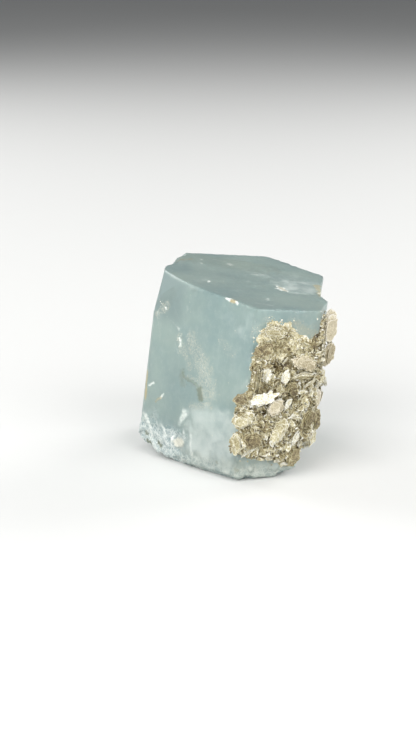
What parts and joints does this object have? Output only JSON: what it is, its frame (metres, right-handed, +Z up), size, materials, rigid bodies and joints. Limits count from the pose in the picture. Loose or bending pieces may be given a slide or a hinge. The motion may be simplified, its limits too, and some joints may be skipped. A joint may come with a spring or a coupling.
{
  "type": "aquamarine crystal",
  "caption": "Stout six-sided aquamarine prism with a flat top and a broken, flat-cut base, its right side crusted with books of mica.",
  "frame": {"origin": "on the cut base, under the middle of the specimen", "axes": "+Z up, away from the surface that it stands on; -Y towards the front, where the broad left face meets the mica-covered right face; the crystal's c axis leans 7.3 degrees from +Z towards +X"},
  "size_m": [0.049, 0.0559, 0.0462],
  "materials": {
    "aquamarine": "milky pale blue-green beryl with a satin natural face",
    "mica": "pearly cream to tan muscovite flakes",
    "mica_pale": "silvery white muscovite",
    "mica_brown": "brown translucent muscovite"
  },
  "bodies": {
    "root": {"aquamarine_crystal": "aquamarine", "mica_blade_white": "mica_pale", "mica_book_upright": "mica_brown", "mica_plate_beside_upright": "mica_pale", "mica_plate_white_centre": "mica_pale", "mica_plate_white_middle": "mica_pale", "mica_plate_white_lower": "mica_pale", "mica_book_pearl": "mica_pale", "mica_book_cream_shelf": "mica_pale", "mica_book_slant": "mica", "mica_book_long_cream": "mica", "mica_book_brown_lozenge": "mica_brown", "mica_book_left_foot": "mica", "mica_book_left_cream": "mica", "mica_plate_left_brown": "mica_brown", "mica_book_middle_grey": "mica_brown", "mica_book_upper_cream": "mica", "mica_book_upper_left": "mica_brown", "mica_book_right_lower": "mica_brown", "mica_book_right_foot": "mica_brown", "mica_book_rim_top": "mica_pale", "mica_book_rim_upper": "mica_pale", "mica_book_rim_middle": "mica", "mica_book_rim_lower": "mica_pale", "mica_book_rim_grey": "mica_brown", "mica_book_rim_foot": "mica", "mica_book_side_broad": "mica", "mica_book_side_slant": "mica_pale", "mica_book_ledge": "mica", "mica_crust": "mica"}
  },
  "joints": []
}
